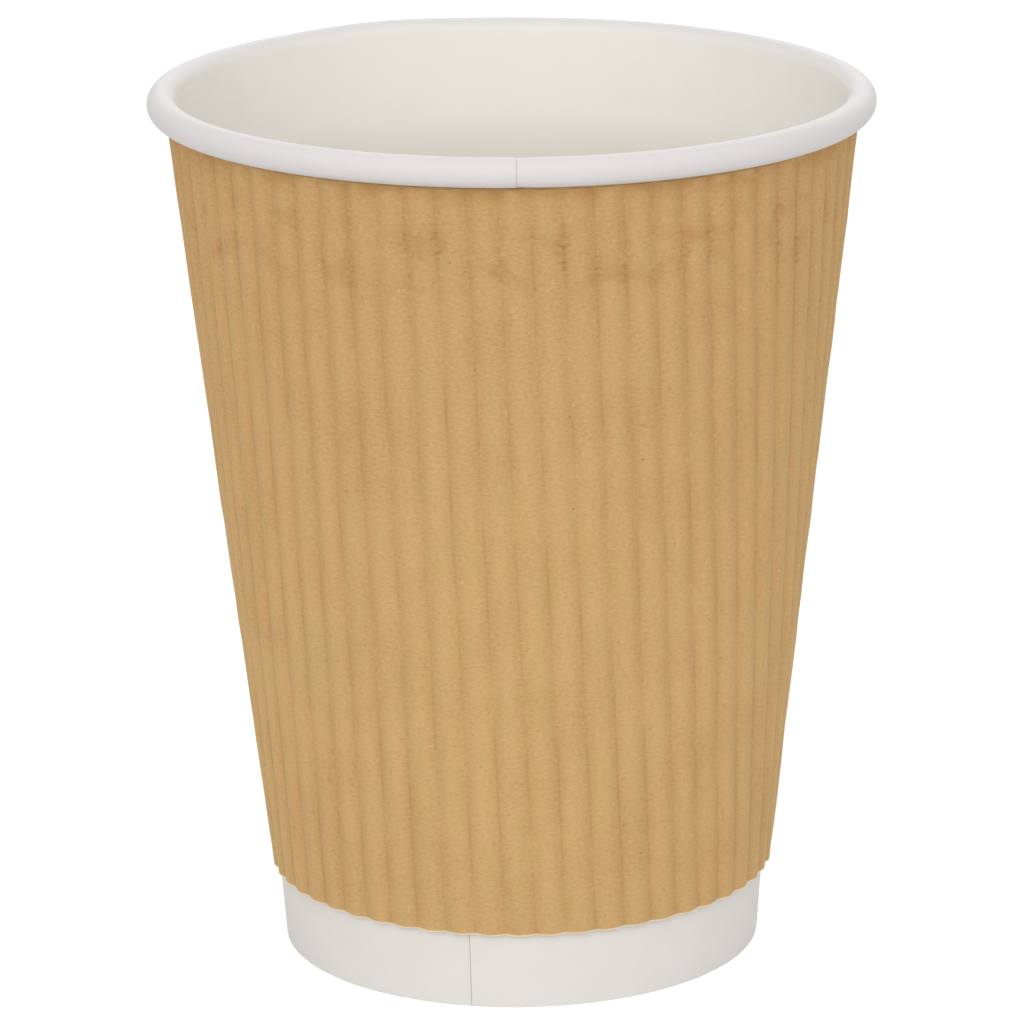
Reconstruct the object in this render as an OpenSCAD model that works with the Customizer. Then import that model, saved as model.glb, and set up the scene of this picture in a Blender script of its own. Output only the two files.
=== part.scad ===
// Paper coffee cup with a ripple wrap. A blank of coated board is wound into a cone and lapped at its side
// seam, rolled out at the rim and folded in round the bottom, and a fluted kraft sheet is glued round it.
// Millimetres. The origin is at the middle of the foot, +Z is up and the cup's side seam faces -Y.

/* [Cup] */
// Height over the rolled rim
cup_height = 110; // [80:1:140]
// Diameter over the rolled rim
rim_d = 90; // [84:1:100]
// Diameter of the wall where its outer face reaches the floor
base_d = 60.2; // [54:0.2:70]
// Thickness of the coated board of the wall
board = 0.35; // [0.25:0.05:0.5]
// Diameter of the rolled rim's section
roll_d = 3.56; // [2.6:0.02:4.4]
// How far round the board is rolled at the rim, in degrees
roll_turn = 315; // [270:5:315]

/* [Side seam] */
// Width of the side seam's lap, in degrees round the cup
lap_turn = 12; // [6:1:20]
// How far the lap's two plies are pressed into each other
lap_press = 0.2; // [0.05:0.05:0.2]
// Stretch in which the outer ply climbs over the inner ply's cut edge, in degrees round the cup
climb_turn = 4; // [2:0.5:8]

/* [Foot and bottom] */
// Depth of the flat that the hem stands on, pressed into its round fold
hem_flat = 0.16; // [0.04:0.02:0.18]
// How square the fold's outside is pressed, from 2 for a round fold
fold_square = 4; // [2:0.5:5]
// How far the hem's cut edge ends below the bend of the bottom
hem_gap = 0.5; // [0.2:0.1:3]
// Height of the bottom's underside above the floor
bottom_rise = 8.5; // [6:0.5:12]
// Thickness of the bottom's board
bottom_board = 0.3; // [0.2:0.05:0.5]
// Outer radius of the bend between the bottom and its skirt
shoulder_r = 1.2; // [0.8:0.1:2.5]
// Gap on each face of the skirt
seat_gap = 0.03; // [0.02:0.01:0.1]

/* [Wrap] */
// Height of the wrap's lower edge above the floor
wrap_bottom = 10; // [4:0.5:30]
// Gap between the wrap's upper edge and the rolled rim
wrap_top_gap = 0.1; // [0.1:0.1:6]
// Thickness of the kraft paper
kraft = 0.2; // [0.15:0.05:0.4]
// Distance from flute to flute across the flat sheet
flute_pitch = 3.7; // [3.4:0.1:6]
// Height of the flutes at the wrap's upper edge, without the paper
flute_top_h = 0.5; // [0.3:0.1:1.6]
// Height of the flutes at the wrap's lower edge, pressed a little flatter
flute_bottom_h = 0.4; // [0.3:0.1:1.6]
// Form of the flutes: 2 for a plain wave, and less for broader crests between narrower grooves
crest_form = 1.3; // [0.6:0.1:2]
// Thickness of the glue, between the flutes' grooves and the wall and in the wrap's lap
glue_line = 0.1; // [0.08:0.01:0.3]
// How much further the grooves stand off the wall at the wrap's upper edge
wrap_slack = 0.4; // [0:0.1:0.6]
// Direction that the middle of the sheet faces, in degrees round the cup from the side seam
wrap_middle = -19; // [-90:1:90]
// Distance of the first groove from the middle of the sheet
first_groove = 0.9; // [0:0.1:3.8]
// Width of the wrap's own lap, in degrees round the cup
wrap_lap = 12; // [6:1:20]
// Stretch beside a lap in which the sheet is pressed down or bends up, in degrees round the cup
wrap_blend = 9; // [6:1:15]
// Share of the flutes' height that is left where the wrap's lap is pressed
lap_crush = 0.2; // [0.1:0.05:0.5]

/* [Hidden] */
$fn = 180;

// Steps in which the outer ply climbs over the inner one
climb_steps = 4;
// How far neighbouring stretches of the wall reach into each other, in degrees, to be one sheet
stretch_overlap = 0.1;
// How much sooner a ply under another ends round the roll, in degrees for each millimetre of depth
roll_stagger = 30;
// Flat facets round the roll and round the hem's and the bottom's bends
roll_facets = 28;
bend_facets = 8;
// Stretches that a flute is drawn in, across it and along it
flute_facets = 5;
flute_rows = 7;
// What is nipped off the sharp upper corners of the wrap's sheet, across the flutes
corner_nip = 0.25;
// Least distance from a corner to the next place on a flute, as a share of the distance between places
corner_room = 0.2;

// The wall's lean and its length from the floor to the middle of the roll, along its inner face
roll_r = roll_d / 2;
foot_r = base_d / 2 - board;
roll_out = rim_d / 2 - roll_r - foot_r;
roll_up = cup_height - roll_r;
wall_length = sqrt(pow(roll_out, 2) + pow(roll_up, 2) - pow(roll_r, 2));
wall_lean = atan2(roll_out, roll_up) - atan2(roll_r, wall_length);

// The hem: the slot that holds the skirt, and the middle of the round fold under it
slot = bottom_board + 2 * seat_gap;
hem_fold = (slot / 2 + board - hem_flat - slot / 2 * sin(wall_lean)) / cos(wall_lean);

// The middle of the bend between skirt and bottom, against the wall's inner face and from the cup's axis
bend_in = -seat_gap - shoulder_r;
bend_z = bottom_rise + bottom_board - shoulder_r;
bend_up = (bend_z + bend_in * sin(wall_lean)) / cos(wall_lean);
bend_out = foot_r + bend_in * cos(wall_lean) + bend_up * sin(wall_lean);

// The cone that the flutes' grooves lie on, and that cone laid flat: the sheet's two long edges are arcs
// round its tip, and its two ends are straight lines to the tip
wrap_top = cup_height - roll_d - wrap_top_gap;
groove_bottom_r = wall_outer_r(wrap_bottom) + glue_line / cos(wall_lean);
groove_top_r = wall_outer_r(wrap_top) + (glue_line + wrap_slack) / cos(wall_lean);
wrap_lean = atan2(groove_top_r - groove_bottom_r, wrap_top - wrap_bottom);
tip_z = wrap_bottom - groove_bottom_r / tan(wrap_lean);
reach_bottom = groove_bottom_r / sin(wrap_lean);
reach_top = groove_top_r / sin(wrap_lean);
half_turn = 180 + wrap_lap / 2;
half_spread = half_turn * sin(wrap_lean);

// How far the lap's outer ply stands over the wall
lap_rise = board - lap_press;

function wall_outer_r(z) = foot_r + board / cos(wall_lean) + z * tan(wall_lean);

// Runs from 0 to 1 as v goes from a to b, and is level at both ends
function blend(v, a, b) = let (t = min(1, max(0, (v - a) / (b - a)))) t * t * (3 - 2 * t);

// Two triangles for a four-sided patch
function patch(a, b, c, d) = [[a, b, c], [a, c, d]];

// Points along an arc
function arc(centre, r, from, to, facets) =
    [for (i = [0 : facets]) let (a = from + (to - from) * i / facets) centre + r * [cos(a), sin(a)]];

// Points along the lower half of a round that is the squarer the higher its power, and a true circle at 2
function pressed_arc(centre, r, power, facets) =
    [for (i = [0 : facets]) let (a = 180 + 180 * i / facets)
        centre + r * [sign(cos(a)) * pow(abs(cos(a)), 2 / power), -pow(abs(sin(a)), 2 / power)]];

function reversed(list) = [for (i = [len(list) - 1 : -1 : 0]) list[i]];

// One face of a ply, from the hem's cut edge round the fold, up the wall and over the roll, drawn upright
function ply_face(depth, hem_end, fold, square, roll_end) = [
    [-slot - depth, hem_end],
    each pressed_arc([-slot / 2, fold], slot / 2 + depth, square, bend_facets),
    each arc([roll_r, wall_length], roll_r - depth, 180, roll_end, roll_facets)
];

// Section of one ply of the wall, set back by a depth from the face that was wound on the former
module ply(set_back) {
    hem_end = bend_up - hem_gap - set_back;
    fold = hem_fold + set_back;
    roll_end = 180 - roll_turn + roll_stagger * set_back;
    intersection() {
        square([rim_d, 2 * cup_height]);
        translate([foot_r, 0]) rotate(-wall_lean) polygon(concat(
            ply_face(set_back, hem_end, fold, 2, roll_end),
            reversed(ply_face(set_back + board, hem_end, fold, fold_square, roll_end))
        ));
    }
}

// Turns a section round the cup between two directions, counted in degrees from the side seam
module round_cup(from, to) {
    rotate([0, 0, from - 90]) rotate_extrude(angle = to - from) children();
}

// One sheet. The inner ply's cut edge shows inside and on the roll, and the outer ply's edge shows outside
module cup_wall() {
    climb_step = climb_turn / climb_steps;
    color("white") {
        round_cup(climb_turn - 360, 0) ply(0);
        round_cup(-lap_turn, stretch_overlap) ply(lap_rise);
        for (i = [1 : climb_steps])
            round_cup((i - 1) * climb_step - stretch_overlap, i * climb_step + stretch_overlap)
                ply(lap_rise * (climb_steps + 0.5 - i) / climb_steps);
    }
}

// The bottom, its bend and the skirt that reaches down into the hem
module cup_bottom() {
    upper = arc([bend_out, bend_z], shoulder_r, 90, -wall_lean, bend_facets);
    lower = arc([bend_out, bend_z], shoulder_r - bottom_board, 90, -wall_lean, bend_facets);
    skirt = (hem_fold - bend_up) * [sin(wall_lean), cos(wall_lean)];
    color("ivory") rotate_extrude() polygon([
        [0, bend_z + shoulder_r],
        each upper,
        upper[bend_facets] + skirt,
        lower[bend_facets] + skirt,
        each reversed(lower),
        [0, bottom_rise]
    ]);
}

// Height of the flutes at a place across the sheet, as a share of their full height
function wave(across) = pow(abs(sin(180 * (across - first_groove) / flute_pitch)), crest_form);

// How far the wrap bends out where it passes over the wall's lap
function over_seam(turn) = let (
    way = (turn + 540) % 360 - 180,
    risen = blend(way, -lap_turn - wrap_blend, -lap_turn),
    fallen = blend(way, climb_turn, climb_turn + wrap_blend)
) lap_rise * risen * (1 - fallen);

// Height of the flutes at a distance from the cone's tip
function flute_h(reach) = flute_bottom_h
    + (flute_top_h - flute_bottom_h) * (reach - reach_bottom) / (reach_top - reach_bottom);

// How far a face of the wrap stands over the grooves' cone: the flutes, pressed down at the wrap's lap, the
// outer end's step over the inner end, and the bend over the wall's seam
function wrap_rise(across, reach, turn, face) = let (
    free = blend(half_turn - abs(turn), wrap_lap, wrap_lap + wrap_blend),
    pressed = lap_crush * flute_h(reach)
)
    (pressed + (flute_h(reach) - pressed) * free) * wave(across)
    + (turn > 0 ? (pressed + kraft + glue_line) * (1 - free) : 0)
    + over_seam(turn + wrap_middle)
    + face * kraft;

// A point of the wrap: the flat sheet, with its flutes all one way, rolled on to its cone
function wrap_point(across, reach, face) = let (
    turn = asin(across / reach) / sin(wrap_lean),
    rise = wrap_rise(across, reach, turn, face),
    out = reach * sin(wrap_lean) + rise * cos(wrap_lean),
    way = turn + wrap_middle
) [out * sin(way), -out * cos(way), tip_z + reach * cos(wrap_lean) - rise * sin(wrap_lean)];

// The fluted sheet: a face inside, a face outside, and strips along its cut edges
module ripple_sleeve() {
    step = flute_pitch / flute_facets;
    edge = reach_top * sin(half_spread) - corner_nip;
    first = ceil((-edge - first_groove) / step + corner_room);
    last = floor((edge - first_groove) / step - corner_room);
    places = [-edge, for (k = [first : last]) first_groove + k * step, edge];
    end = len(places) - 1;
    top = flute_rows;

    points = [
        for (face = [0, 1]) for (across = places)
            let (low = max(reach_bottom, abs(across) / sin(half_spread)))
                for (j = [0 : top]) wrap_point(across, low + (reach_top - low) * j / top, face)
    ];
    inner = function(i, j) i * (top + 1) + j;
    outer = function(i, j) (end + 1 + i) * (top + 1) + j;

    color("burlywood") polyhedron(points, [
        for (i = [0 : end - 1]) for (j = [0 : top - 1]) each [
            each patch(outer(i, j), outer(i, j + 1), outer(i + 1, j + 1), outer(i + 1, j)),
            each patch(inner(i, j), inner(i + 1, j), inner(i + 1, j + 1), inner(i, j + 1))
        ],
        for (i = [0 : end - 1]) each [
            each patch(outer(i, 0), outer(i + 1, 0), inner(i + 1, 0), inner(i, 0)),
            each patch(outer(i + 1, top), outer(i, top), inner(i, top), inner(i + 1, top))
        ],
        for (j = [0 : top - 1]) each [
            each patch(outer(0, j + 1), outer(0, j), inner(0, j), inner(0, j + 1)),
            each patch(outer(end, j), outer(end, j + 1), inner(end, j + 1), inner(end, j))
        ]
    ]);
}

cup_wall();
cup_bottom();
ripple_sleeve();
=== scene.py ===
"""A paper coffee cup with a ripple wrap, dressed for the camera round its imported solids.

Sizes are in millimetres and turned to metres where a mesh is made, but for the studio's, which are in metres.
Directions round the cup are in degrees from the side seam, which faces -Y, and grow towards +X.
"""

from math import atan2, copysign, cos, degrees, exp, pi, radians, sin, sqrt, tan

import bpy
from mathutils import Matrix, Vector


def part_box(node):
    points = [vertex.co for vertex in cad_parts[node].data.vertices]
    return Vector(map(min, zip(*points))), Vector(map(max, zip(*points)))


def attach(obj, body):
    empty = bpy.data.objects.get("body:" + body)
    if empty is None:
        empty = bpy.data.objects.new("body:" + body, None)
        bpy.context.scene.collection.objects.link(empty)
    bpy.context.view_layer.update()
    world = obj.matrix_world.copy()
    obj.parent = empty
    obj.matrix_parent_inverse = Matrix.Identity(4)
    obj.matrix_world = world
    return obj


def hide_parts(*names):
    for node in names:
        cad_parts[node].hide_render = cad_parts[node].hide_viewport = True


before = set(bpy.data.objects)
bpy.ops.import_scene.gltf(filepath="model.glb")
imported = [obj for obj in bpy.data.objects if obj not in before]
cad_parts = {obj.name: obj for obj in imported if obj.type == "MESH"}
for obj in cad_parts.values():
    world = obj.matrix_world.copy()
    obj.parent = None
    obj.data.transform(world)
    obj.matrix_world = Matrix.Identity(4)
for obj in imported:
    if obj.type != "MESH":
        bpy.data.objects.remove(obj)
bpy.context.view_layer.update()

# Cup wall
# One blank of bleached board, filmed on its inner face and wound into a cone with a lapped side seam. Its
# top edge is rolled outwards, so that the filmed face shows on the rim, and its foot is folded in round the
# bottom.
MM = 0.001
wall_low, wall_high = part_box("cup_wall")
cup_height = (wall_high.z - wall_low.z) / MM
rim_d = (wall_high.x - wall_low.x) / MM
base_d = 60.2
board = 0.35
roll_r = 1.78
roll_turn = 315

# The hem goes up inside, round a slot for the bottom's skirt. Its fold is pressed flat by hem_flat, and the
# side of it that faces the cup's axis is knurled by the tool that pressed it
slot = 0.36
hem_top = 6.98
hem_flat = 0.16
knurl_depth = 0.05
knurls = 120

# In the lap the outer ply stands out by the step that its pressing left, and its roll ends short by roll_slip
# degrees for each millimetre of that. It comes down over climb_turn, and the inner ply is pressed in over
# press_turn, all in degrees
lap_turn = 12.7
climb_turn = 4
press_turn = 0.15
lap_press = 0.27
lap_play = 0.005
lap_rise = board - lap_press
roll_slip = 30

foot_r = base_d / 2 - board
roll_out = rim_d / 2 - roll_r - foot_r
roll_up = cup_height - roll_r
wall_length = sqrt(roll_out**2 + roll_up**2 - roll_r**2)
lean = atan2(roll_out, roll_up) - atan2(roll_r, wall_length)

# The rim came off its tool a little out of level: it is lower on the right, and the wall follows from half
# way. Behind on the left it stands up a little more, where the tool let go last
rim_tilt = radians(0.357)
tilt_starts = 60
lift_way = 203
lift_width = 13
lift_height = 0.3

# The hem swells the wall's foot a little and squares its fold, and over it the wall is crimped in on the
# bottom. Both come and fade between the heights above the foot that are given here
foot_swell = 0.1
swell_fades = (1, 6)
fold_square = 5
crimp = 0.18
crimp_comes = (3, 8)
crimp_fades = (14, 24)

# The blank was set on its cone a little round to the right
set_round = radians(0.7)

# Steps of the mesh along the board and round the cup
hem_steps = 4
fold_steps = 12
wall_steps = 14
roll_steps = 40
turn_steps = 496

# Finishes by their place among a piece's materials
FILMED = 0
PLAIN = 1
CUT = 2


def blend(value, start, end):
    """Runs from 0 at start to 1 at end and is level at both."""
    share = min(1, max(0, (value - start) / (end - start)))
    return share * share * (3 - 2 * share)


def arc(centre, radius, start, end, steps):
    """Points along an arc, with its angles in degrees."""
    turns = [radians(start + (end - start) * i / steps) for i in range(steps + 1)]
    return [(centre[0] + radius * cos(a), centre[1] + radius * sin(a)) for a in turns]


def pressed_arc(centre, radius, power):
    """The lower half of a round that is the squarer the higher its power: 2 for a true circle."""
    turns = [radians(180 + 180 * i / fold_steps) for i in range(fold_steps + 1)]
    squared = [(copysign(abs(cos(a)) ** (2 / power), cos(a)), -(abs(sin(a)) ** (2 / power))) for a in turns]
    return [(centre[0] + radius * x, centre[1] + radius * y) for x, y in squared]


def straight(start, end, steps):
    """Points inside a straight stretch, without its ends."""
    shares = [i / steps for i in range(1, steps)]
    return [(start[0] + (end[0] - start[0]) * s, start[1] + (end[1] - start[1]) * s) for s in shares]


def board_face(depth, set_back, knurl):
    """One face of the board, from the hem's cut edge round the fold and up the wall to the roll's end."""
    fold_up = (slot / 2 + board - hem_flat - slot / 2 * sin(lean)) / cos(lean) + set_back
    roll_end = 180 - roll_turn + roll_slip * set_back
    hem_edge = (-slot - depth - knurl, hem_top - set_back)
    fold = pressed_arc((-slot / 2, fold_up), slot / 2 + depth, 2 + (fold_square - 2) * min(1, depth / board))
    roll = arc((roll_r, wall_length), roll_r - depth, 180, roll_end, roll_steps)
    hem = straight(hem_edge, fold[0], hem_steps)
    hem = [(x - knurl * (1 - i / hem_steps), y) for i, (x, y) in enumerate(hem)]
    return [hem_edge, *hem, *fold, *straight(fold[-1], roll[0], wall_steps), *roll]


def stand_up(point, turn):
    """A point of the upright section, leaned to the cone, turned to its direction and tilted with the rim."""
    across, up = point
    if across > -slot / 2:
        across += foot_swell * (1 - blend(up, *swell_fades))
        across -= crimp * blend(up, *crimp_comes) * (1 - blend(up, *crimp_fades))
    out = foot_r + across * cos(lean) + up * sin(lean)
    z = max(0, up * cos(lean) - across * sin(lean))
    turn += set_round
    x = out * sin(turn)
    lift = lift_height * exp(-(((degrees(turn) - lift_way) / lift_width) ** 2))
    return (x, -out * cos(turn), z + (lift - x * tan(rim_tilt)) * blend(z, tilt_starts, cup_height))


def wind_wall():
    """Winds the blank: the lap's outer ply first, then once round under it to the inner ply's cut edge."""
    lap_starts = 360 - lap_turn
    turns = [-lap_turn + (360 + lap_turn) * i / turn_steps for i in range(turn_steps + 1)]
    turns = sorted([*turns, lap_starts - press_turn, lap_starts])
    points, faces, finishes, rolled, cut = [], [], [], [], []
    for turn in turns:
        set_back = lap_rise * (1 - blend(turn, 0, climb_turn))
        thickness = board - (lap_press + lap_play) * blend(turn, lap_starts - press_turn, lap_starts)
        knurl = knurl_depth * (0.5 + 0.5 * cos(radians(knurls * turn)))
        inner = board_face(set_back, set_back, 0)
        outer = board_face(set_back + thickness, set_back, knurl)
        points += [stand_up(p, radians(turn)) for p in inner + outer[::-1]]
        roll_starts = len(inner) - 1 - roll_steps
        on_roll = [blend(i, roll_starts - 2, roll_starts + 8) for i in range(len(inner))]
        rolled += on_roll + on_roll[::-1]
        cut += [float(turn in (turns[0], turns[-1]))] * len(inner + outer)
    last, around = len(inner) - 1, 2 * len(inner)
    for i in range(len(turns) - 1):
        low, high = i * around, (i + 1) * around
        for j in range(around):
            k = (j + 1) % around
            faces.append((low + j, high + j, high + k, low + k))
            finishes.append(CUT if j in (last, around - 1) else FILMED if j < last else PLAIN)
    for start, flip in ((0, False), ((len(turns) - 1) * around, True)):
        for j in range(last):
            cap = (start + j, start + j + 1, start + around - 2 - j, start + around - 1 - j)
            faces.append(cap[::-1] if flip else cap)
            finishes.append(CUT)
    return points, faces, finishes, {"rolled": rolled, "cut": cut}


def mesh_piece(name, points, faces, finishes, marks, materials):
    """A mesh object in metres, smooth but for its cut edges, with marks on its points for the finish."""
    mesh = bpy.data.meshes.new(name)
    mesh.from_pydata([tuple(c * MM for c in p) for p in points], [], faces)
    for material in materials:
        mesh.materials.append(material)
    mesh.polygons.foreach_set("material_index", finishes)
    for mark, values in marks.items():
        mesh.attributes.new(mark, "FLOAT", "POINT").data.foreach_set("value", values)
    mesh.shade_smooth()
    mesh.set_sharp_from_angle(angle=radians(40))
    mesh.validate()
    piece = bpy.data.objects.new(name, mesh)
    bpy.context.scene.collection.objects.link(piece)
    return piece


def linear(code):
    """An sRGB hex colour as Blender's linear one."""
    parts = [int(code[i : i + 2], 16) / 255 for i in (1, 3, 5)]
    return (*[c / 12.92 if c <= 0.04045 else ((c + 0.055) / 1.055) ** 2.4 for c in parts], 1)


def add(tree, kind, sockets=(), out=0, **settings):
    """Adds a node with its settings, sets or links its sockets, and gives one of its outputs."""
    node = tree.nodes.new(kind)
    for name, value in settings.items():
        setattr(node, name, value)
    for key, value in sockets.items() if isinstance(sockets, dict) else enumerate(sockets):
        if isinstance(value, bpy.types.NodeSocket):
            tree.links.new(value, node.inputs[key])
        else:
            node.inputs[key].default_value = value
    return node.outputs[out]


def new_material(name, **shader_values):
    """A material with its shader's sockets set, and its node tree."""
    material = bpy.data.materials.new(name)
    material.use_nodes = True
    shader = material.node_tree.nodes["Principled BSDF"]
    for socket, value in shader_values.items():
        shader.inputs[socket.replace("_", " ")].default_value = value
    return material, material.node_tree, shader.inputs


# Widths of the board's clouds and of its grain, and how far the fibres stand out in the paper's relief
cloud_width = 6
grain_width = 0.5
relief_depth = 0.03

# Heights between which the filmed face passes from its tone at the mouth to painted shade further down
mouth_ends = 98
deep_shade_full = 88


def board_finish(name, colour, shade, roughness, specular, rim=None, deep_shade=None, edge=None):
    """Bleached board: a faint cloudy formation of its fibres under the finish, and their grain as relief."""
    material, tree, shader = new_material(name, Roughness=roughness, Specular_IOR_Level=specular, IOR=1.5)
    where = add(tree, "ShaderNodeTexCoord", out="Object")
    cloud = add(tree, "ShaderNodeTexNoise", {0: where, "Scale": 1 / (cloud_width * MM), "Detail": 3.0})
    grain = add(tree, "ShaderNodeTexNoise", {0: where, "Scale": 1 / (grain_width * MM), "Detail": 4.0})
    amount = add(tree, "ShaderNodeMapRange", {0: cloud, 1: 0.35, 2: 0.75})
    tones = {6: linear(colour), 7: linear(shade)}
    tint = add(tree, "ShaderNodeMix", {0: amount, **tones}, out=2, data_type="RGBA")
    if rim:
        height = add(tree, "ShaderNodeSeparateXYZ", [where], out="Z")
        # Painted shade: the filmed face gets greyer further down inside the cup
        down = add(tree, "ShaderNodeMapRange", {0: height, 1: mouth_ends * MM, 2: deep_shade_full * MM, 4: 0.75})
        rolled = add(tree, "ShaderNodeAttribute", out="Fac", attribute_name="rolled")
        cut = add(tree, "ShaderNodeAttribute", out="Fac", attribute_name="cut")
        cut = add(tree, "ShaderNodeMapRange", {0: cut, 1: 0.5, 4: 0.5})
        for share, tone in ((down, deep_shade), (rolled, rim), (cut, edge)):
            tint = add(tree, "ShaderNodeMix", {0: share, 6: tint, 7: linear(tone)}, out=2, data_type="RGBA")
    tree.links.new(tint, shader["Base Color"])
    relief = add(tree, "ShaderNodeBump", {"Strength": 0.15, "Distance": relief_depth * MM, "Height": grain})
    tree.links.new(relief, shader["Normal"])
    return material


# Bleached board under a thin polyethylene film: ivory white, with the soft gloss of a wax. It is greyer where
# it is stretched round the rim, has painted shade deep inside, and is darkest along the seam's cut edges
filmed_board = board_finish("filmed_board", "#F6F4EE", "#F4F2EB", 0.5, 0.15, "#DBD8D7", "#DCD8CB", "#A9A29D")
# The board's plain outer face: white and matt
plain_board = board_finish("plain_board", "#EAE7E3", "#E8E5E0", 0.75, 0.2)
# The board's cut edge: bare fibres, a little darker where the knife went through
cut_board = board_finish("cut_board", "#D9D3C8", "#CEC7BA", 0.9, 0.15)

cup_wall = mesh_piece("wound_cup_wall", *wind_wall(), [filmed_board, plain_board, cut_board])
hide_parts("cup_wall")
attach(cup_wall, "root")

# Cup bottom
# A round of the same board, pressed to a shallow tray whose skirt points down into the hem. It is filmed on
# the face that the drink stands on, and sealed to the wall all round.
bottom_rise = 8.5
bottom_board = 0.3
shoulder_r = 1.2
seat_gap = 0.03
skirt_ends = 0.55
flat_shares = (0.25, 0.5, 0.75)
bend_steps = 8


def bottom_profile():
    """Section of the bottom, from its middle over the bend, down the skirt and back along its underside."""
    bend_z = bottom_rise + bottom_board - shoulder_r
    bend_in = -seat_gap - shoulder_r
    bend_up = (bend_z + bend_in * sin(lean)) / cos(lean)
    centre = (foot_r + bend_in * cos(lean) + bend_up * sin(lean), bend_z)
    drop = bend_up - skirt_ends
    upper = arc(centre, shoulder_r, 90, -degrees(lean), bend_steps)
    lower = arc(centre, shoulder_r - bottom_board, 90, -degrees(lean), bend_steps)
    ends = [(x - drop * sin(lean), z - drop * cos(lean)) for x, z in (upper[-1], lower[-1])]
    top = [(centre[0] * share, bend_z + shoulder_r) for share in flat_shares]
    under = [(r, bottom_rise) for r, z in reversed(top)]
    return [*top, *upper, *ends, *reversed(lower), *under]


def spin_bottom():
    """Turns the section round, closed with a fan of faces on each side of the middle."""
    profile = bottom_profile()
    steps, around = 240, len(profile)
    skirt_starts = len(flat_shares) + bend_steps
    points, faces, finishes = [], [], []
    for i in range(steps):
        turn = 2 * pi * i / steps
        points += [(r * sin(turn), -r * cos(turn), z) for r, z in profile]
        low, high = i * around, (i + 1) % steps * around
        for j in range(around - 1):
            faces.append((low + j, low + j + 1, high + j + 1, high + j))
            finishes.append(FILMED if j < skirt_starts else CUT if j == skirt_starts + 1 else PLAIN)
    points += [(0, 0, profile[0][1]), (0, 0, profile[-1][1])]
    for i in range(steps):
        low, high = i * around, (i + 1) % steps * around
        faces.append((len(points) - 2, low, high))
        faces.append((len(points) - 1, high + around - 1, low + around - 1))
        finishes += [FILMED, PLAIN]
    return points, faces, finishes, {}


cup_bottom = mesh_piece("pressed_cup_bottom", *spin_bottom(), [filmed_board, plain_board, cut_board])
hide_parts("cup_bottom")
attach(cup_bottom, "root")

# Ripple wrap
# One sheet of brown kraft, fluted between rollers, cut to a fan with its flutes all parallel to its middle
# line, wound round the cup and glued along its grooves. Its ends lap behind, where the flutes are pressed
# flat.
wrap_bottom = 10
under_roll = 0.1
wrap_top = cup_height - 2 * roll_r - under_roll
kraft = 0.2
glue_line = 0.1
wrap_slack = 0.4
flute_pitch = 3.7
first_groove = 0.88
flute_top_h = 0.5
flute_bottom_h = 0.4
wrap_lap = 12
wrap_middle = -19
groove_bottom_r = foot_r + (board + glue_line) / cos(lean) + wrap_bottom * tan(lean)
groove_top_r = foot_r + (board + glue_line + wrap_slack) / cos(lean) + wrap_top * tan(lean)
wrap_lean = atan2(groove_top_r - groove_bottom_r, wrap_top - wrap_bottom)
half_turn = radians(180 + wrap_lap / 2)
half_spread = half_turn * sin(wrap_lean)
reach_top = groove_top_r / sin(wrap_lean)
end_trim = 0.2
half_width = reach_top * sin(half_spread) - end_trim

# The mesh has points across the sheet at even steps, one of them in each groove, and in rows from foot to top
steps_per_flute = 12
rows_along = 31
across_step = flute_pitch / steps_per_flute
steps_left = int((half_width + first_groove) / across_step)
steps_right = int((half_width - first_groove) / across_step)

wrap_sizes = {
    "Left edge": first_groove - steps_left * across_step,
    "Right edge": first_groove + steps_right * across_step,
    "Reach of lower edge": groove_bottom_r / sin(wrap_lean),
    "Reach of upper edge": reach_top,
    "Height of cone tip": wrap_bottom - groove_bottom_r / tan(wrap_lean),
    "Lean": wrap_lean,
    "Half spread": half_spread,
    "Half turn": half_turn,
    "Middle direction": radians(wrap_middle),
    "Flute pitch": flute_pitch,
    "First groove": first_groove,
    "Upper flute height": flute_top_h,
    "Lower flute height": flute_bottom_h,
    "Crest form": 1.3,
    "Paper": kraft,
    "Glue": glue_line,
    "Lap": radians(wrap_lap),
    "Lap blend": radians(9),
    "Pressed share": 0.2,
    "Seam rise": lap_rise,
    "Seam start": radians(-lap_turn),
    "Seam end": radians(climb_turn),
    "Groove wander": 0.35,
    "Groove wander scale": 0.06,
    "Height wander": 0.7,
    "Height wander scale": 0.21,
    "Run of wander": 60,
    "Rough cut": 0.35,
    "Rough cut scale": 0.7,
    "Rim tilt": tan(rim_tilt),
    "Tilt starts": tilt_starts,
    "Tilt ends": cup_height,
    "Off centre": 0.1,
}
MATH = "ShaderNodeMath"


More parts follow.
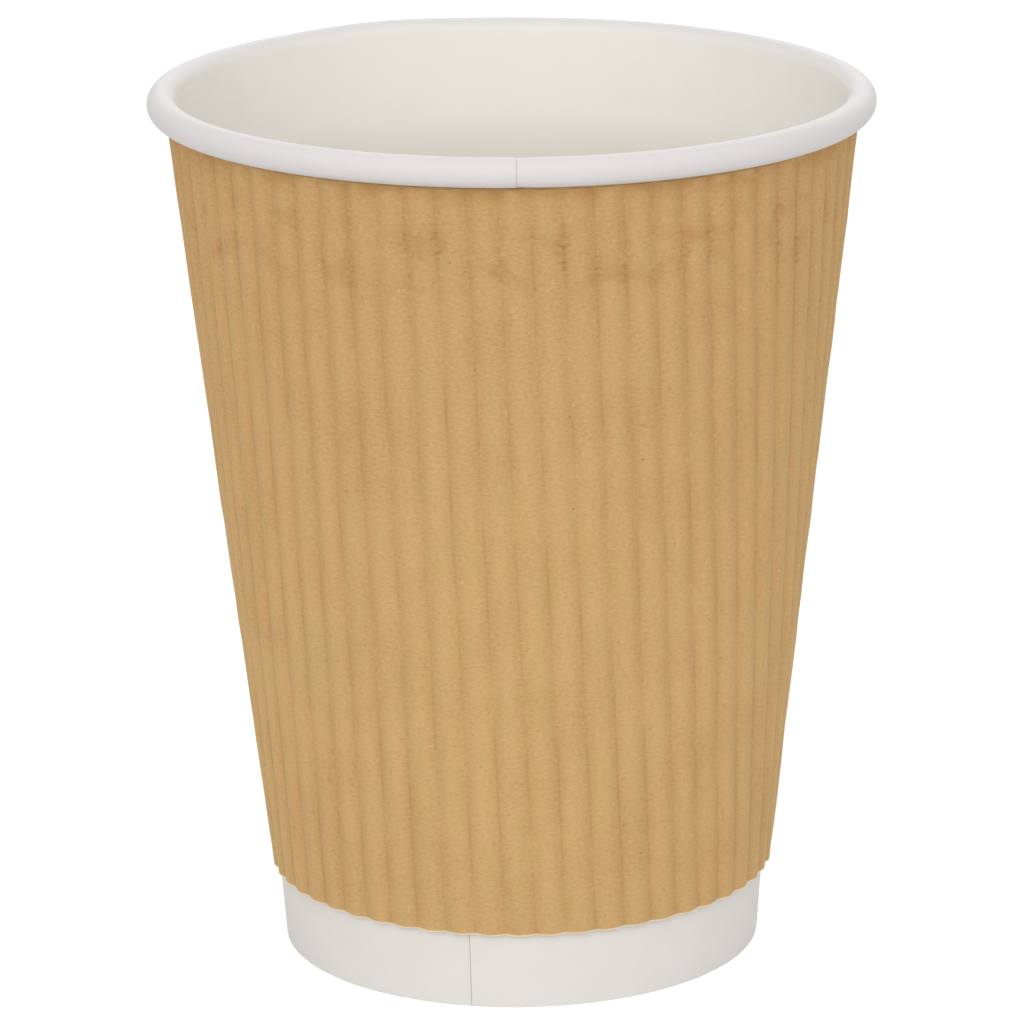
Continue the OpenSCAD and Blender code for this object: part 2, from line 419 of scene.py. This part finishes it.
def wrap_tree(material):
    """Geometry nodes that figure the fluted sheet flat, in millimetres, and roll it on to its cone."""
    tree = bpy.data.node_groups.new("ripple_wrap", "GeometryNodeTree")
    tree.interface.new_socket(name="Geometry", in_out="OUTPUT", socket_type="NodeSocketGeometry")
    for name in wrap_sizes:
        tree.interface.new_socket(name=name, in_out="INPUT", socket_type="NodeSocketFloat")
    size = tree.nodes.new("NodeGroupInput").outputs

    # A slab of two faces: x runs across the flutes, y along them and z through the paper
    columns = steps_left + steps_right + 1
    counts = {"Vertices X": columns, "Vertices Y": rows_along, "Vertices Z": 2}
    slab = add(tree, "GeometryNodeMeshCube", {"Size": (1, 1, 1), **counts})
    place = add(tree, "ShaderNodeSeparateXYZ", [add(tree, "GeometryNodeInputPosition")]).node.outputs
    edges = {3: size["Left edge"], 4: size["Right edge"]}
    width = add(tree, "ShaderNodeMapRange", {0: place[0], 1: -0.5, 2: 0.5, **edges})
    up = add(tree, MATH, [place[1], 0.5], operation="ADD")
    face = add(tree, MATH, [place[2], 0.5], operation="ADD")

    # Grooves wander a little sideways, so the sheet's points go with them
    run = add(tree, MATH, [up, size["Run of wander"]], operation="MULTIPLY")
    wander_at = add(tree, "ShaderNodeCombineXYZ", [width, run, 0.0])
    form = {"Scale": size["Groove wander scale"], "Detail": 2.0}
    sway = add(tree, "ShaderNodeTexNoise", {0: wander_at, **form})
    sway = add(tree, MATH, [sway, 0.5], operation="SUBTRACT")
    across = add(tree, MATH, [sway, size["Groove wander"], width], operation="MULTIPLY_ADD")
    form = {"Scale": size["Height wander scale"], "Detail": 1.0}
    bulge = add(tree, "ShaderNodeTexNoise", {0: wander_at, **form})
    bulge = add(tree, MATH, [bulge, 0.5], operation="SUBTRACT")
    bulge = add(tree, MATH, [bulge, size["Height wander"], 1.0], operation="MULTIPLY_ADD")

    # The sheet is a fan: its long edges are arcs round the cone's tip, and its ends point to that tip
    far = add(tree, MATH, [across], operation="ABSOLUTE")
    slant = add(tree, MATH, [size["Half spread"]], operation="SINE")
    low = add(tree, MATH, [far, slant], operation="DIVIDE")
    low = add(tree, MATH, [low, size["Reach of lower edge"]], operation="MAXIMUM")
    along_cut = add(tree, "ShaderNodeCombineXYZ", [width, 0.0, 0.0])
    form = {"Scale": size["Rough cut scale"], "Detail": 3.0, "Roughness": 0.7}
    rough = add(tree, "ShaderNodeTexNoise", {0: along_cut, **form})
    rough = add(tree, MATH, [rough, 0.5], operation="SUBTRACT")
    low = add(tree, MATH, [rough, size["Rough cut"], low], operation="MULTIPLY_ADD")
    reach = add(tree, "ShaderNodeMapRange", {0: up, 1: 0.0, 2: 1.0, 3: low, 4: size["Reach of upper edge"]})
    lean_sine = add(tree, MATH, [size["Lean"]], operation="SINE")
    lean_cosine = add(tree, MATH, [size["Lean"]], operation="COSINE")
    turn = add(tree, MATH, [add(tree, MATH, [across, reach], operation="DIVIDE")], operation="ARCSINE")
    turn = add(tree, MATH, [turn, lean_sine], operation="DIVIDE")

    # Flutes: broad crests between narrow grooves, a little taller towards the rim
    phase = add(tree, MATH, [width, size["First groove"]], operation="SUBTRACT")
    phase = add(tree, MATH, [phase, size["Flute pitch"]], operation="DIVIDE")
    phase = add(tree, MATH, [phase, pi], operation="MULTIPLY")
    wave = add(tree, MATH, [add(tree, MATH, [phase], operation="SINE")], operation="ABSOLUTE")
    wave = add(tree, MATH, [wave, size["Crest form"]], operation="POWER")
    reaches = {1: size["Reach of lower edge"], 2: size["Reach of upper edge"]}
    heights = {3: size["Lower flute height"], 4: size["Upper flute height"]}
    full = add(tree, "ShaderNodeMapRange", {0: reach, **reaches, **heights})

    # Where the ends lap they are pressed flat, and the outer end steps over the inner one
    to_end = add(tree, MATH, [turn], operation="ABSOLUTE")
    to_end = add(tree, MATH, [size["Half turn"], to_end], operation="SUBTRACT")
    lap_end = add(tree, MATH, [size["Lap"], size["Lap blend"]], operation="ADD")
    smooth = {"interpolation_type": "SMOOTHSTEP"}
    free = add(tree, "ShaderNodeMapRange", {0: to_end, 1: size["Lap"], 2: lap_end}, **smooth)
    kept = add(tree, "ShaderNodeMapRange", {0: free, 3: size["Pressed share"], 4: 1.0})
    flute = add(tree, MATH, [full, kept], operation="MULTIPLY")
    flute = add(tree, MATH, [flute, wave], operation="MULTIPLY")
    flute = add(tree, MATH, [flute, bulge], operation="MULTIPLY")
    under = add(tree, MATH, [full, size["Pressed share"], size["Paper"]], operation="MULTIPLY_ADD")
    under = add(tree, MATH, [under, size["Glue"]], operation="ADD")
    outer_end = add(tree, MATH, [turn, 0.0], operation="GREATER_THAN")
    over = add(tree, MATH, [1.0, free], operation="SUBTRACT")
    over = add(tree, MATH, [over, outer_end], operation="MULTIPLY")
    over = add(tree, MATH, [over, under], operation="MULTIPLY")

    # Over the wall's own seam the sheet bends out by the board's step
    way = add(tree, MATH, [turn, size["Middle direction"]], operation="ADD")
    about = add(tree, MATH, [way, -pi, pi], operation="WRAP")
    risen_at = add(tree, MATH, [size["Seam start"], size["Lap blend"]], operation="SUBTRACT")
    risen = add(tree, "ShaderNodeMapRange", {0: about, 1: risen_at, 2: size["Seam start"]}, **smooth)
    fallen_at = add(tree, MATH, [size["Seam end"], size["Lap blend"]], operation="ADD")
    falls = {1: size["Seam end"], 2: fallen_at, 3: 1.0, 4: 0.0}
    staying = add(tree, "ShaderNodeMapRange", {0: about, **falls}, **smooth)
    seam = add(tree, MATH, [risen, staying], operation="MULTIPLY")

    rise = add(tree, MATH, [seam, size["Seam rise"], flute], operation="MULTIPLY_ADD")
    rise = add(tree, MATH, [rise, over], operation="ADD")
    rise = add(tree, MATH, [face, size["Paper"], rise], operation="MULTIPLY_ADD")

    # On to the cone, and down a little on the right with the rim
    out = add(tree, MATH, [reach, lean_sine], operation="MULTIPLY")
    out = add(tree, MATH, [rise, lean_cosine, out], operation="MULTIPLY_ADD")
    x = add(tree, MATH, [way], operation="SINE")
    x = add(tree, MATH, [out, x, size["Off centre"]], operation="MULTIPLY_ADD")
    y = add(tree, MATH, [add(tree, MATH, [way], operation="COSINE"), -1.0], operation="MULTIPLY")
    y = add(tree, MATH, [out, y], operation="MULTIPLY")
    z = add(tree, MATH, [reach, lean_cosine, size["Height of cone tip"]], operation="MULTIPLY_ADD")
    sink = add(tree, MATH, [rise, lean_sine], operation="MULTIPLY")
    z = add(tree, MATH, [z, sink], operation="SUBTRACT")
    tilts = {1: size["Tilt starts"], 2: size["Tilt ends"], 3: 0.0, 4: size["Rim tilt"]}
    tilted = add(tree, "ShaderNodeMapRange", {0: z, **tilts}, **smooth)
    tilted = add(tree, MATH, [x, tilted], operation="MULTIPLY")
    z = add(tree, MATH, [z, tilted], operation="SUBTRACT")
    point = add(tree, "ShaderNodeCombineXYZ", [x, y, z])
    point = add(tree, "ShaderNodeVectorMath", {0: point, "Scale": MM}, operation="SCALE")

    # What the finish needs to know of each place: across and along the sheet, and how high on its flute
    sheet = add(tree, "ShaderNodeCombineXYZ", [across, reach, wave])
    stored = {"Geometry": slab, "Name": "sheet", "Value": sheet}
    slab = add(tree, "GeometryNodeStoreNamedAttribute", stored, data_type="FLOAT_VECTOR")
    slab = add(tree, "GeometryNodeSetPosition", {"Geometry": slab, "Position": point})
    slab = add(tree, "GeometryNodeRealizeInstances", [slab])
    slab = add(tree, "GeometryNodeSetMaterial", {"Geometry": slab, "Material": material})
    tree.links.new(slab, tree.nodes.new("NodeGroupOutput").inputs[0])
    return tree


# How far under the sheet's upper edge the belt of stains runs, and how high the specks are for their width
belt_drop = 9
speck_form = 0.7


def kraft_finish():
    """Unbleached kraft: two pulp tones, grooves browner and in painted shade, curled fibres, shives, flecks,
    stains.
    """
    material, tree, shader = new_material(
        "kraft_paper", Roughness=0.85, Specular_IOR_Level=0.2, Sheen_Weight=0.25, Sheen_Roughness=0.3
    )
    shader["Sheen Tint"].default_value = linear("#E2E4B4")
    sheet = add(tree, "ShaderNodeAttribute", out="Vector", attribute_name="sheet")
    place = add(tree, "ShaderNodeSeparateXYZ", [sheet]).node.outputs
    reads = {
        "depth": place["Z"],
        "from top": add(tree, MATH, [reach_top, place["Y"]], operation="SUBTRACT"),
        "from foot": add(tree, MATH, [place["Y"], wrap_sizes["Reach of lower edge"]], operation="SUBTRACT"),
    }
    belt = add(tree, MATH, [reads["from top"], belt_drop], operation="SUBTRACT")
    reads["from belt"] = add(tree, MATH, [belt], operation="ABSOLUTE")

    # Patterns of the pulp: the width and length in millimetres of their marks, across and along the flutes,
    # how finely they are divided and how much they curl
    for name, wide, long, detail, twist in (
        ("patches", 3.3, 14.0, 3.0, 0.0),
        ("clouds", 11.0, 11.0, 3.0, 0.0),
        ("broken", 2.0, 11.0, 3.0, 0.0),
        ("smudge", 4.5, 4.5, 5.0, 0.0),
        ("grain", 0.6, 0.3, 2.0, 0.0),
        ("mottle", 0.9, 0.5, 2.0, 0.0),
        ("pale curl", 1.25, 1.2, 1.0, 1.2),
        ("brown curl", 1.2, 1.25, 1.0, 1.2),
        ("pale pieces", 0.8, 0.75, 1.0, 0.0),
        ("brown pieces", 0.75, 0.8, 1.0, 0.0),
    ):
        marks = add(tree, "ShaderNodeMapping", {"Vector": sheet, "Scale": (1 / wide, 1 / long, 0)})
        form = {"Scale": 1.0, "Detail": detail, "Distortion": twist}
        reads[name] = add(tree, "ShaderNodeTexNoise", {0: marks, **form})
    for name in ("pale curl", "brown curl"):
        middle = add(tree, MATH, [reads[name], 0.5], operation="SUBTRACT")
        reads[name] = add(tree, MATH, [middle], operation="ABSOLUTE")

    # Shives are specks of bark up to about half a millimetre across, and pale flecks are as wide and fewer.
    # Each lies in a cell of its own: the cell's height in millimetres, the lot from which a speck shows there,
    # and the speck's largest radius as a share of the cell
    for name, cell, least, widest in (("shives", 1.5, 0.35, 0.13), ("flecks", 4.5, 0.5, 0.05)):
        marks = add(tree, "ShaderNodeMapping", {"Vector": sheet, "Scale": (speck_form / cell, 1 / cell, 0)})
        cells = add(tree, "ShaderNodeTexVoronoi", {"Vector": marks, "Scale": 1.0}).node.outputs
        lots = add(tree, "ShaderNodeSeparateColor", [cells["Color"]]).node.outputs
        reads[name + " lot"] = lots[1]
        size = add(tree, "ShaderNodeMapRange", {0: lots[0], 1: least, 2: 1.0, 4: widest})
        reads[name] = add(tree, MATH, [size, cells["Distance"]], operation="SUBTRACT")

    # Coats laid over the pulp, from the ground up: the colour, how strong it gets at most, and what it
    # follows, each with the value where it starts and the one where it is full
    colour = linear("#D5AB76")
    for tone, most, *follows in (
        ("#CDAB72", 1.0, ("patches", 0.35, 0.65)),
        ("#C0935F", 0.4, ("clouds", 0.45, 0.8)),
        # Painted shade: browner towards the sheet's upper edge, where less light falls on it
        ("#C29966", 0.6, ("from top", 70, 0)),
        # Grooves: painted shade, with some of the paper's own browner tone, in a soft band with a thin broken
        # line at its bottom
        ("#AC7F49", 0.25, ("depth", 0.85, 0.1), ("broken", 0.2, 0.6)),
        ("#9A6D38", 0.25, ("depth", 0.14, 0.0), ("broken", 0.3, 0.65)),
        # Grain and mottling, and fibres a tenth of a millimetre wide that curl all ways
        ("#B5884F", 0.34, ("grain", 0.5, 0.75)),
        ("#DDBB86", 0.28, ("grain", 0.5, 0.25)),
        ("#B07C4C", 0.36, ("mottle", 0.55, 0.75), ("clouds", 0.4, 0.65)),
        ("#E6C896", 0.38, ("pale curl", 0.02, 0.004), ("pale pieces", 0.56, 0.64)),
        ("#A67842", 0.4, ("brown curl", 0.02, 0.004), ("brown pieces", 0.56, 0.64)),
        ("#7A5128", 0.55, ("shives", 0.0, 0.05), ("shives lot", 0.2, 1.0)),
        ("#F0D9AC", 0.6, ("flecks", 0.0, 0.02), ("flecks lot", 0.0, 1.0)),
        # Stains in the belt, the stronger ones in its grooves, and right under the sheet's upper edge
        ("#A8733F", 0.32, ("from belt", 6.5, 3.0), ("smudge", 0.5, 0.72)),
        (
            "#93602F",
            0.42,
            ("from belt", 6.0, 2.0),
            ("depth", 0.7, 0.1),
            ("mottle", 0.5, 0.65),
            ("smudge", 0.42, 0.6),
        ),
        ("#B07F4A", 0.5, ("from top", 3.0, 0.5), ("smudge", 0.42, 0.6)),
        # Edges: painted shadow right under the roll, and paler along the sheet's cut foot
        ("#8A7040", 0.55, ("from top", 0.35, 0.1)),
        ("#F6E6C4", 0.85, ("from foot", 0.22, 0.1)),
    ):
        share = most
        for followed, starts, full in follows:
            mask = add(tree, "ShaderNodeMapRange", {0: reads[followed], 1: starts, 2: full})
            share = add(tree, MATH, [mask, share], operation="MULTIPLY")
        colour = add(tree, "ShaderNodeMix", {0: share, 6: colour, 7: linear(tone)}, out=2, data_type="RGBA")
    tree.links.new(colour, shader["Base Color"])

    relief = {"Strength": 0.15, "Distance": relief_depth * MM, "Height": reads["grain"]}
    tree.links.new(add(tree, "ShaderNodeBump", relief), shader["Normal"])
    return material


kraft_paper = kraft_finish()
ripple_wrap = bpy.data.objects.new("fluted_ripple_wrap", bpy.data.meshes.new("blank"))
bpy.context.scene.collection.objects.link(ripple_wrap)
wrapping = ripple_wrap.modifiers.new("ripple wrap", "NODES")
wrapping.node_group = wrap_tree(kraft_paper)
for socket in wrapping.node_group.interface.items_tree:
    if socket.in_out == "INPUT":
        wrapping[socket.identifier] = float(wrap_sizes[socket.name])
scene_now = bpy.context.evaluated_depsgraph_get()
fluted = bpy.data.meshes.new_from_object(
    ripple_wrap.evaluated_get(scene_now), preserve_all_data_layers=True, depsgraph=scene_now
)
ripple_wrap.modifiers.remove(wrapping)
ripple_wrap.data = fluted
fluted.shade_smooth()
fluted.set_sharp_from_angle(angle=radians(50))
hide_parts("ripple_sleeve")
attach(ripple_wrap, "root")

# Studio
# A plain pale floor that fades to white, soft light from all round, and the camera where the photograph was
# taken from.
floor_reach = 4.0
floor_drop = 0.02 * MM
corners = [(-1, -1), (1, -1), (1, 1), (-1, 1)]
corners = [(x * floor_reach, y * floor_reach, -floor_drop) for x, y in corners]
floor_mesh = bpy.data.meshes.new("floor")
floor_mesh.from_pydata(corners, [], [(0, 1, 2, 3)])
floor = bpy.data.objects.new("floor", floor_mesh)
bpy.context.scene.collection.objects.link(floor)


def seen_directly(tree):
    """1 for rays from the camera, or by way of a mirror or glass, and 0 for light that bounces about."""
    rays = add(tree, "ShaderNodeLightPath").node.outputs
    seen = add(tree, MATH, [rays["Is Camera Ray"], rays["Is Glossy Ray"]], operation="MAXIMUM")
    return add(tree, MATH, [seen, rays["Is Transmission Ray"]], operation="MAXIMUM")


# The floor throws back a pale grey's share of the light. Where it is seen it is darker and glows, so that it
# comes out white and the cup's shadow stays on it
floor_bounce = (0.78, 0.78, 0.78, 1)
floor_seen = (0.35, 0.35, 0.35, 1)
floor_glow = 0.78
white = (1, 1, 1, 1)
floor_white, tree, shader = new_material("floor_white", Roughness=1.0, Specular_IOR_Level=0.0)
seen = seen_directly(tree)
pale = add(tree, "ShaderNodeMix", {0: seen, 6: floor_bounce, 7: floor_seen}, out=2, data_type="RGBA")
tree.links.new(pale, shader["Base Color"])
glow = add(tree, MATH, [seen, floor_glow], operation="MULTIPLY")
shader["Emission Color"].default_value = white
tree.links.new(glow, shader["Emission Strength"])
floor_mesh.materials.append(floor_white)

# The world lights the cup softly from all round, and is white where it is seen
world_light = 0.55
world = bpy.data.worlds.new("soft_studio")
world.use_nodes = True
bpy.context.scene.world = world
tree = world.node_tree
sky = tree.nodes["Background"].inputs
sky["Color"].default_value = white
sky_strength = add(tree, "ShaderNodeMapRange", {0: seen_directly(tree), 3: world_light, 4: 1.0})
tree.links.new(sky_strength, sky["Strength"])

# Square soft boxes that face the cup's middle and aren't seen: their place, width and watts
cup_middle = Vector((0, 0, 0.055))
for name, place, width, watts in (
    ("front_box", (-0.15, -1.2, 0.75), 1.0, 6.4),
    ("left_box", (-1.2, -0.9, 0.6), 0.8, 2.1),
    ("right_box", (1.2, -0.9, 0.6), 0.8, 2.6),
    ("top_box", (0, 0, 1.6), 1.2, 4.5),
    ("back_box", (0.15, 1.3, 0.8), 1.0, 4.8),
):
    lamp_data = bpy.data.lights.new(name, "AREA")
    lamp_data.size = width
    lamp_data.energy = watts
    lamp = bpy.data.objects.new(name, lamp_data)
    lamp.location = place
    lamp.rotation_euler = (cup_middle - Vector(place)).to_track_quat("-Z", "Y").to_euler()
    lamp.visible_camera = False
    bpy.context.scene.collection.objects.link(lamp)

# The camera, fitted to the outlines of the rim, the wrap and the foot: how far it stands from the point on
# the cup's axis that it looks at, how steeply it looks down, and the height of that point
camera_distance = 0.68367
camera_elevation = radians(15.985)
camera_roll = radians(-0.7185)
target_height = 0.05499
camera_lens = 190.6
camera_shift = -0.0047
back = Vector((0, -cos(camera_elevation), sin(camera_elevation)))
right = Vector((1, 0, 0))
above = back.cross(right)
camera_data = bpy.data.cameras.new("camera")
camera_data.sensor_width = 36
camera_data.lens = camera_lens
camera_data.shift_x = camera_shift
camera = bpy.data.objects.new("camera", camera_data)
turned_right = right * cos(camera_roll) + above * sin(camera_roll)
turned_up = above * cos(camera_roll) - right * sin(camera_roll)
facing = Matrix((turned_right, turned_up, back)).transposed().to_4x4()
stands_at = Vector((0, 0, target_height)) + back * camera_distance
camera.matrix_world = Matrix.Translation(stands_at) @ facing
bpy.context.scene.collection.objects.link(camera)
bpy.context.scene.camera = camera
bpy.context.scene.view_settings.view_transform = "Standard"
